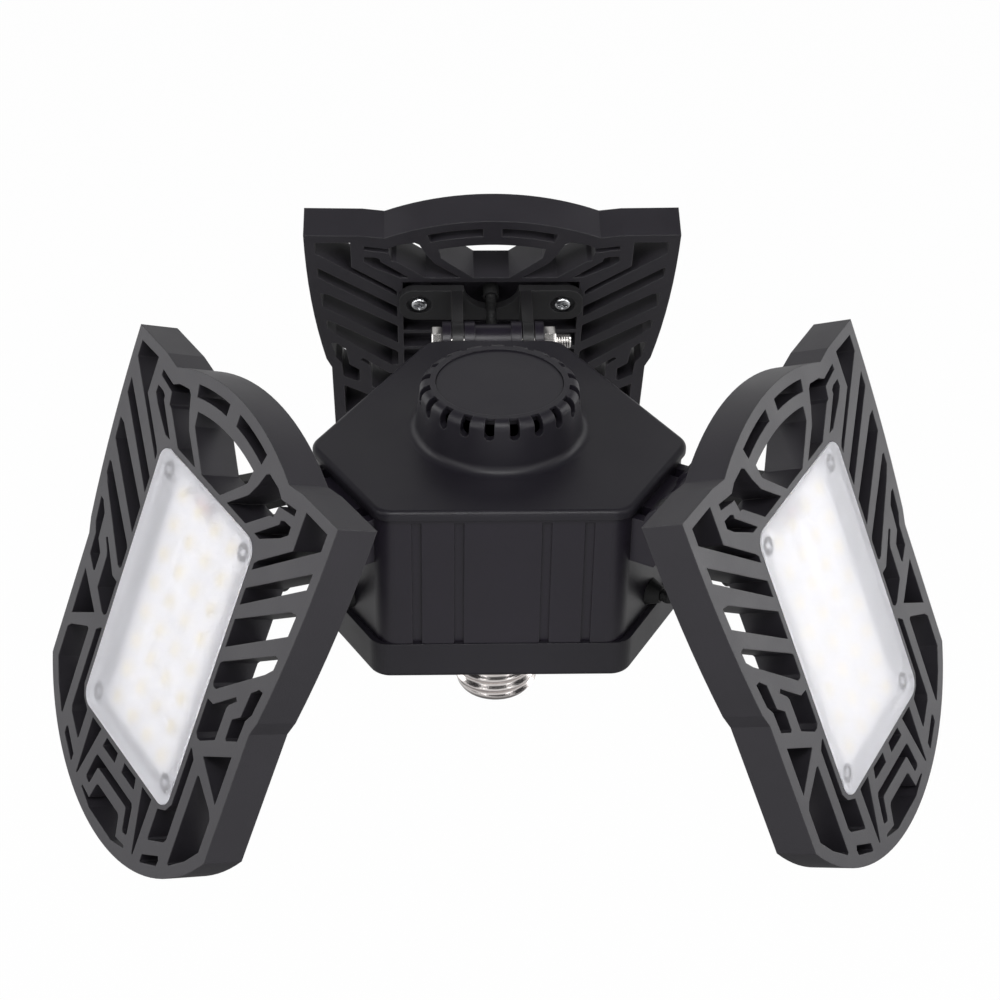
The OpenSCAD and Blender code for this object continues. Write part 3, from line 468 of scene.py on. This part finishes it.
def cross_recess(bm, height, width, length, depth):
    """Sinks a tapered cross into the flat top of a screw head, at this height."""
    for axis in (Vector((1, 0, 0)), Vector((0, 1, 0))):
        for off in (-length / 2, -width / 2, width / 2, length / 2):
            flat = [f for f in bm.faces if all(abs(v.co.z - height) < SAME_HEIGHT for v in f.verts)]
            edges = list({e for f in flat for e in f.edges})
            verts = list({v for f in flat for v in f.verts})
            bmesh.ops.bisect_plane(bm, geom=flat + edges + verts, plane_co=axis * off,
                                   plane_no=axis)

    def inside(face):
        c = face.calc_center_median()
        arm = min(abs(c.x), abs(c.y)) < width / 2 and max(abs(c.x), abs(c.y)) < length / 2
        return arm and abs(c.z - height) < SAME_HEIGHT

    sunk, _ = extruded(bm, [f for f in bm.faces if inside(f)])
    bmesh.ops.translate(bm, verts=sunk, vec=(0, 0, -depth))
    bmesh.ops.scale(bm, verts=sunk, vec=(RECESS_TAPER, RECESS_TAPER, 1))
    bmesh.ops.delete(bm, geom=[f for f in bm.faces if inside(f)], context="FACES_ONLY")


# outline of a pan head as shares of its radius and height
PAN_OUTLINE = [(1, 0), (1, 0.35), (0.95, 0.68), (0.84, 0.9), (0.68, 1)]


def screw_head(bm, radius, height):
    """A pan head, its seat at z = 0, with a cross recess."""
    lathe(bm, [(radius * out, height * up) for out, up in PAN_OUTLINE], steps=32)
    bmesh.ops.holes_fill(bm, edges=[e for e in bm.edges if e.is_boundary], sides=0)
    cross_recess(bm, height, width=radius * 0.3, length=radius * 1.24, depth=height * 0.75)


def hexagon(bm, low, high):
    """A hexagonal prism along Z with eased ends, for a bolt head or a nut."""
    base = capped_ring(bm, 6, HEX_FLATS / math.sqrt(3), Matrix.Translation((0, 0, low)))
    raised, _ = extruded(bm, base, use_keep_orig=True)
    bmesh.ops.translate(bm, verts=raised, vec=(0, 0, high - low))
    level = [e for e in bm.edges if abs(e.verts[0].co.z - e.verts[1].co.z) < SAME_HEIGHT]
    bmesh.ops.bevel(bm, geom=[e for e in level if len(e.link_faces) == 2], offset=HEX_CHAMFER,
                    segments=2, profile=0.5, affect="EDGES", material=-1)


def place(bm, matrix, start):
    """Moves what was added to a bmesh since it held `start` vertices."""
    bm.verts.ensure_lookup_table()
    bmesh.ops.transform(bm, matrix=matrix, verts=bm.verts[start:])


# ---------------------------------------------------------------- lamp base


def make_screw_shell():
    """The threaded shell: plain rim, rolled thread and rounded lower end."""
    bm = bmesh.new()
    thread(bm, THREAD_ROOT_R, THREAD_CREST_R, THREAD_PITCH, THREAD_LOW, THREAD_HIGH, steps=72)
    lathe(bm, RIM_OUTLINE, steps=72)
    lathe(bm, FOOT_OUTLINE, steps=72)
    piece = add_piece(bm, "threaded_shell", shell_nickel, MM, smooth=60)
    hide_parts("screw_shell")
    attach(piece, "body")


def make_cover_screws():
    """Screw heads in their pockets under the bottom cover, facing down."""
    bm = bmesh.new()
    for turn in COVER_SCREW_TURNS:
        start = len(bm.verts)
        screw_head(bm, COVER_HEAD_R, COVER_HEAD_H)
        round_axis = Matrix.Rotation(math.radians(turn), 4, "Z")
        seat = Matrix.Translation((COVER_SCREW_R, 0, COVER_SCREW_Z))
        place(bm, round_axis @ seat @ Matrix.Rotation(math.pi, 4, "X"), start)
    piece = add_piece(bm, "bottom_screws", zinc, MM)
    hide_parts("cover_screws")
    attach(piece, "body")


make_screw_shell()
make_cover_screws()

# ---------------------------------------------------------------- hinges and leads


def make_hinge_hardware(side):
    """Bolt with a hexagon head and a threaded end, and its nut."""
    # the heads of the left and the right bolt are both at the front
    half_turn = Matrix.Rotation(math.pi if side == "right" else 0.0, 4, "Z")
    along = side_matrix(side) @ half_turn @ Matrix.Rotation(math.pi / 2, 4, "Y")
    end = LUG_OUT + NUT_H + BOLT_END
    bm = bmesh.new()
    thread(bm, BOLT_R - BOLT_THREAD_DEPTH, BOLT_R, BOLT_PITCH, LUG_OUT - 1, end - 0.5,
           steps=32, points=6)
    hexagon(bm, -LUG_OUT - BOLT_HEAD_H, -LUG_OUT)
    lathe(bm, [(BOLT_R, -LUG_OUT), (BOLT_R, LUG_OUT - 0.5)], steps=40)
    lathe(bm, [(BOLT_R - 0.1, end - 0.6), (BOLT_R - 0.5, end), (0, end)], steps=32)
    bolt = add_piece(bm, "bolt_" + side, nickel, along)
    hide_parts("hinge_bolt_" + side)
    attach(bolt, "body")
    bm = bmesh.new()
    hexagon(bm, LUG_OUT, LUG_OUT + NUT_H)
    nut = add_piece(bm, "nut_" + side, nickel, along)
    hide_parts("hinge_nut_" + side)
    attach(nut, "body")


def smooth_route(points, steps=8):
    """A curve through every point, as a list of places."""
    padded = [points[0]] + points + [points[-1]]
    route = []
    for a, b, c, d in zip(padded, padded[1:], padded[2:], padded[3:]):
        for k in range(steps):
            t = k / steps
            route.append(0.5 * ((2 * b) + (c - a) * t + (2 * a - 5 * b + 4 * c - d) * t * t
                                + (3 * b - a - 3 * c + d) * t ** 3))
    return route + [points[-1]]


def tube(bm, route, radius, sides=16):
    """Sweeps a ring along a route by extruding and turning it."""
    last = route[1] - route[0]
    look = Vector((0, 0, 1)).rotation_difference(last).to_matrix().to_4x4()
    cap = capped_ring(bm, sides, radius, Matrix.Translation(route[0]) @ look)
    for here, there, beyond in zip(route, route[1:], route[2:] + [2 * route[-1] - route[-2]]):
        verts, cap = extruded(bm, cap)
        bmesh.ops.translate(bm, verts=verts, vec=there - here)
        heading = beyond - here
        turn = last.rotation_difference(heading)
        bmesh.ops.rotate(bm, cent=there, matrix=turn.to_matrix(), verts=verts)
        last = heading


def make_lead(side):
    """The lead from the gland on a heat sink to the grommet in the body, drawn at rest."""
    swing = Matrix.Rotation(math.radians(SIDES[side][1]), 3, "X")
    past_floor = (-1, 1, GLAND_LEN + 0.5, GLAND_LEN + 4)
    past_wall = (GROMMET_LEN + 2.5, GROMMET_LEN + 0.5, 1, -WALL_T - 2)
    points = [swing @ Vector((0, REAR_N - d, GLAND_RISE)) for d in past_floor]
    points += [Vector((0, out, up)) for out, up in LEAD_MIDDLE]
    points += [Vector((0, WALL_R - HINGE_R + d, GROMMET_Z - HINGE_Z)) for d in past_wall]
    bm = bmesh.new()
    tube(bm, smooth_route(points), LEAD_R)
    matrix = side_matrix(side)
    piece = add_piece(bm, "lead_" + side, rubber, matrix)
    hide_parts("cable_" + side)
    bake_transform(piece)


# ---------------------------------------------------------------- panels


def make_bracket_screws(side):
    """Screw heads in the recesses of the bracket plate, facing the body."""
    across, up = PLATE_SCREW
    bm = bmesh.new()
    for x in (-across, across):
        start = len(bm.verts)
        screw_head(bm, PLATE_HEAD_R, PLATE_HEAD_H)
        seat = Matrix.Translation((x, BACK_N - PLATE_T + RECESS_DEPTH, up))
        place(bm, seat @ Matrix.Rotation(math.pi / 2, 4, "X"), start)
    piece = add_piece(bm, "plate_screws_" + side, zinc, panel_matrix(side))
    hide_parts("bracket_screws_" + side)
    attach(piece, side + "_panel")


def make_board_leads(side):
    """The two thin leads that come through the notch of the light board to its solder pads."""
    for lead, colour in (("red", red_lead), ("black", black_lead)):
        end = BOARD_PADS[lead]
        # (across, out, up) in the panel's own frame: out of the notch, over the board, to the pad
        route = [(end / 8, 29.6, -5), (end / 8 + 0.2, 31.4, -4.7), (end / 2, 31.9, -4.2),
                 (end - 1.2, 31.75, -4.4), (end, 31.4, -4.6)]
        flat_drop = Matrix.Translation((end + 0.3, 31.2, -4.6)) @ Matrix.Diagonal((1, 0.6, 1, 1))
        bm = bmesh.new()
        tube(bm, smooth_route([Vector(p) for p in route], steps=5), BOARD_LEAD_R, sides=10)
        bmesh.ops.create_uvsphere(bm, u_segments=12, v_segments=8, radius=SOLDER_R,
                                  matrix=flat_drop)
        piece = add_piece(bm, lead + "_lead_" + side, colour, panel_matrix(side))
        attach(piece, side + "_panel")


for side in SIDES:
    make_hinge_hardware(side)
    make_lead(side)
    make_bracket_screws(side)
    make_board_leads(side)

# ---------------------------------------------------------------- stage and light


# strength of the surroundings: for soft light, in a gloss at the horizon, and the share of either
# that is left overhead, between two heights on a sphere of radius 1
AMBIENT = 0.3
HORIZON = 0.93
OVERHEAD = 0.06
DIM_FROM, DIM_TO = 0.08, 0.5

# the floor: height, reach to each side and tone; how bright it shows in a gloss, in a shade painted
# under the light and around it, between two distances from the middle; and the share of the
# camera's view and of a gloss that this light of its own makes up
FLOOR_Z = -0.35
FLOOR_REACH = 3
FLOOR_TONE = (0.86, 0.86, 0.86, 1)
FLOOR_PAINTED_SHADE = 0.15
FLOOR_AROUND = 0.62
SHADE_FROM, SHADE_TO = 0.38, 0.56
FLOOR_OWN_LIGHT = 0.985

# lamps: name, power in W, width and height, place and the point it faces, in m
LAMPS = [
    ("above", 4.2, (0.6, 0.35), (0.0, -0.55, 0.85), (0, 0, 0.03)),
    ("right", 6.6, (1.0, 0.8), (0.95, -0.75, 0.45), (0, 0, 0.03)),
    ("left", 6.4, (1.0, 0.8), (-0.95, -0.75, 0.5), (0, 0, 0.03)),
    ("right_sheen", 2.8, (0.35, 0.7), (1.25, 0.3, 0.05), (0.1, 0, 0.03)),
    ("left_sheen", 2.0, (0.5, 0.9), (-1.25, 0.3, 0.05), (-0.1, 0, 0.03)),
    ("right_high", 2.4, (0.5, 0.5), (1.05, 0.3, 0.6), (0, 0, 0.06)),
    ("left_high", 2.4, (0.5, 0.5), (-1.05, 0.3, 0.6), (0, 0, 0.06)),
    ("back_sheen", 0.6, (0.9, 0.4), (0.0, 0.9, 0.7), (0, 0, 0.03)),
]


def add_lamp(name, power, size, place_at, aim_at):
    """A rectangular lamp that faces a point."""
    data = bpy.data.lights.new(name, "AREA")
    data.energy = power
    data.shape = "RECTANGLE"
    data.size, data.size_y = size
    lamp = bpy.data.objects.new(name, data)
    scene.collection.objects.link(lamp)
    lamp.location = place_at
    heading = Vector(aim_at) - Vector(place_at)
    lamp.rotation_euler = heading.to_track_quat("-Z", "Y").to_euler()


def highest(nodes, first, second):
    """The larger of two numbers."""
    node = nodes.add("ShaderNodeMath", operation="MAXIMUM")
    nodes.join(first, node.inputs[0])
    nodes.join(second, node.inputs[1])
    return node.outputs["Value"]


def seen_straight(nodes):
    """1 for what the camera sees straight or through a lens, and 1 for what shows in a gloss."""
    path = nodes.add("ShaderNodeLightPath")
    straight = highest(nodes, path.outputs["Is Camera Ray"], path.outputs["Is Transmission Ray"])
    return straight, path.outputs["Is Glossy Ray"]


def add_world():
    """White to the camera; in a gloss it is pale at the horizon and dim overhead."""
    world = bpy.data.worlds.new("studio")
    scene.world = world
    world.use_nodes = True
    nodes = Nodes(world.node_tree)
    back = world.node_tree.nodes["Background"]
    straight, glossy = seen_straight(nodes)
    level = nodes.add("ShaderNodeMapRange", in_To_Min=AMBIENT, in_To_Max=HORIZON)
    place_on_sky = nodes.add("ShaderNodeTexCoord")
    height = nodes.add("ShaderNodeSeparateXYZ")
    dimming = nodes.add("ShaderNodeMapRange", in_From_Min=DIM_FROM, in_From_Max=DIM_TO,
                        in_To_Min=1.0, in_To_Max=OVERHEAD)
    sky = nodes.add("ShaderNodeMath", operation="MULTIPLY")
    nodes.join(glossy, level.inputs["Value"])
    nodes.join(place_on_sky.outputs["Generated"], height.inputs["Vector"])
    nodes.join(height.outputs["Z"], dimming.inputs["Value"])
    nodes.join(level.outputs["Result"], sky.inputs[0])
    nodes.join(dimming.outputs["Result"], sky.inputs[1])
    nodes.join(highest(nodes, straight, sky.outputs["Value"]), back.inputs["Strength"])
    back.inputs["Color"].default_value = (1, 1, 1, 1)


def add_floor():
    """A pale floor well below the light, white to the camera; in a gloss a shade is painted into it
    under the light.
    """
    bm = bmesh.new()
    bmesh.ops.create_grid(bm, x_segments=1, y_segments=1, size=FLOOR_REACH,
                          matrix=Matrix.Translation((0, 0, FLOOR_Z)))
    mesh = bpy.data.meshes.new("floor")
    bm.to_mesh(mesh)
    bm.free()
    material, nodes, shader = new_material("floor_white", Base_Color=FLOOR_TONE, Roughness=0.9,
                                           Specular_IOR_Level=0.0)
    mesh.materials.append(material)
    straight, glossy = seen_straight(nodes)
    spot = nodes.add("ShaderNodeTexCoord")
    middle = nodes.add("ShaderNodeVectorMath", operation="LENGTH")
    # painted shadow: in a gloss the floor's own light is dimmed under the light
    in_gloss = nodes.add("ShaderNodeMapRange", in_From_Min=SHADE_FROM, in_From_Max=SHADE_TO,
                         in_To_Min=FLOOR_PAINTED_SHADE, in_To_Max=FLOOR_AROUND)
    white = nodes.add("ShaderNodeEmission")
    mix = nodes.add("ShaderNodeMixShader")
    out = material.node_tree.nodes["Material Output"]
    share = nodes.add("ShaderNodeMath", operation="MULTIPLY", in_1=FLOOR_OWN_LIGHT)
    nodes.join(spot.outputs["Object"], middle.inputs[0])
    nodes.join(middle.outputs["Value"], in_gloss.inputs["Value"])
    nodes.join(highest(nodes, straight, in_gloss.outputs["Result"]), white.inputs["Strength"])
    nodes.join(highest(nodes, straight, glossy), share.inputs[0])
    nodes.join(share.outputs["Value"], mix.inputs["Fac"])
    nodes.join(shader.outputs["BSDF"], mix.inputs[1])
    nodes.join(white.outputs["Emission"], mix.inputs[2])
    nodes.join(mix.outputs["Shader"], out.inputs["Surface"])
    floor = bpy.data.objects.new("floor", mesh)
    scene.collection.objects.link(floor)


add_world()
add_floor()
for lamp_values in LAMPS:
    add_lamp(*lamp_values)
